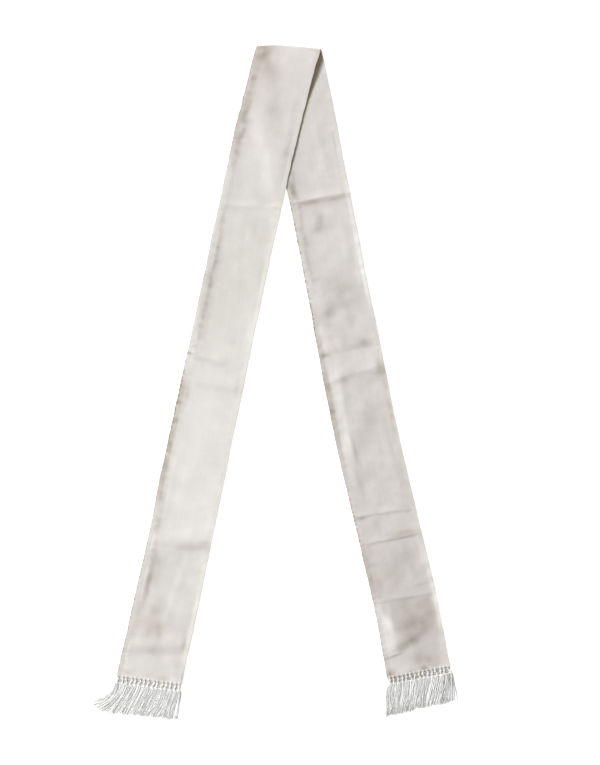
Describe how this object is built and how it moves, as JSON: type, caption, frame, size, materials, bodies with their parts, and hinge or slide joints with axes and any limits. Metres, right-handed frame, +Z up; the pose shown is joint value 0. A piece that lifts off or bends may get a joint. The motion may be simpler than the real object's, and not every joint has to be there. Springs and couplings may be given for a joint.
{
  "type": "evening stole",
  "caption": "Long narrow silk stole, folded across its middle and laid flat with its stretches apart, hemmed down both sides and fringed with knotted tassels at both ends.",
  "frame": {"origin": "on the surface that the stole lies on, under the middle of its plan box", "axes": "+Z up from the surface, +Y towards the fold, +X towards the rear stretch's fringe"},
  "size_m": [0.5208, 0.9646, 0.0092],
  "materials": {
    "silk_front": "ivory silk with a soft sheen",
    "silk_rear": "ivory silk, the duller face, lightly marked with age",
    "fringe": "white twisted rayon thread"
  },
  "bodies": {
    "root": {"left_stretch": "silk_front", "right_stretch": "silk_rear", "left_fringe": "fringe", "right_fringe": "fringe"}
  },
  "joints": []
}
